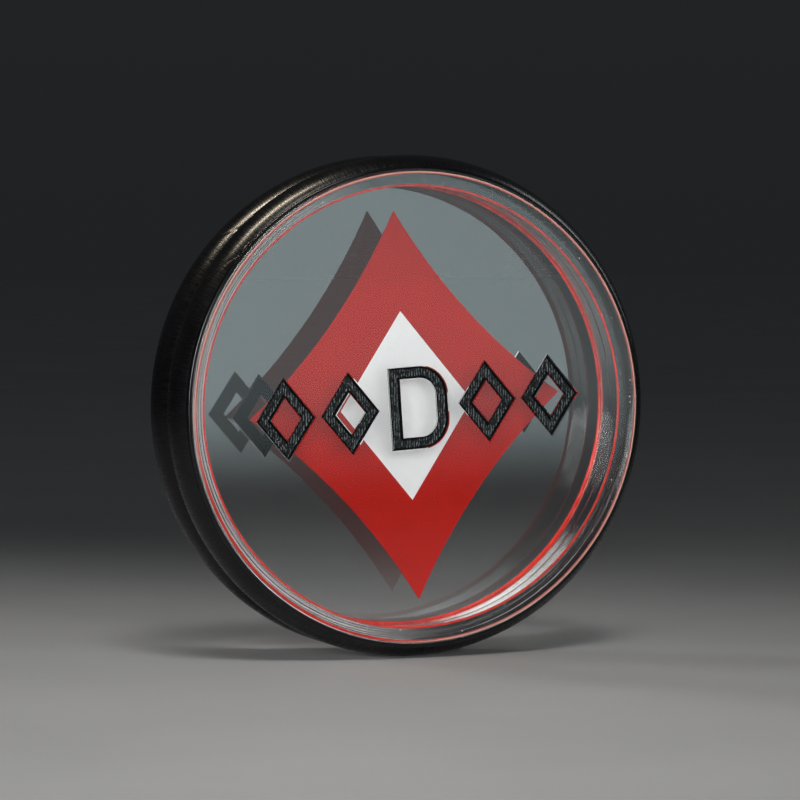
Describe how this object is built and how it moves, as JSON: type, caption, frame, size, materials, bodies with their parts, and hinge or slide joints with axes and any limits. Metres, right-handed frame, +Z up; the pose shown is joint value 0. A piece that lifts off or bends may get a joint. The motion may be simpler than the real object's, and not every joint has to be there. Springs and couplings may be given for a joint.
{
  "type": "dealer button",
  "caption": "Thick clear disc with a sealed two-sided print, paint-filled engraving on both faces and black rubber bumper rings, which marks the dealer's place at a card table.",
  "frame": {"origin": "on the surface that the button stands on, under the middle of its width and thickness", "axes": "+Z up, +Y from the front face through to the rear face along the disc's axis, +X to the right as the front face is read"},
  "size_m": [0.076, 0.018, 0.076],
  "materials": {
    "clear_acrylic": "polished clear acrylic with faint handling marks",
    "clear_film": "clear printed film, bonded between the discs",
    "red_print": "opaque red screen print",
    "white_print": "opaque white screen print",
    "red_paint": "gloss red enamel in fine grooves",
    "black_paint": "gloss black enamel over the tool marks of the engraving",
    "black_rubber": "satin moulded rubber with fine mould lines"
  },
  "bodies": {
    "root": {"print_film": "clear_film", "front_disc": "clear_acrylic", "front_emblem_print": "red_print", "front_centre_print": "white_print", "front_seat_line": "red_paint", "front_edge_line": "red_paint", "front_bumper_ring": "black_rubber", "front_lozenge_fill_1": "black_paint", "front_lozenge_fill_2": "black_paint", "front_lozenge_fill_3": "black_paint", "front_lozenge_fill_4": "black_paint", "front_letter_fill": "black_paint", "rear_disc": "clear_acrylic", "rear_emblem_print": "red_print", "rear_centre_print": "white_print", "rear_seat_line": "red_paint", "rear_edge_line": "red_paint", "rear_bumper_ring": "black_rubber", "rear_lozenge_fill_1": "black_paint", "rear_lozenge_fill_2": "black_paint", "rear_lozenge_fill_3": "black_paint", "rear_lozenge_fill_4": "black_paint", "rear_letter_fill": "black_paint"}
  },
  "joints": []
}
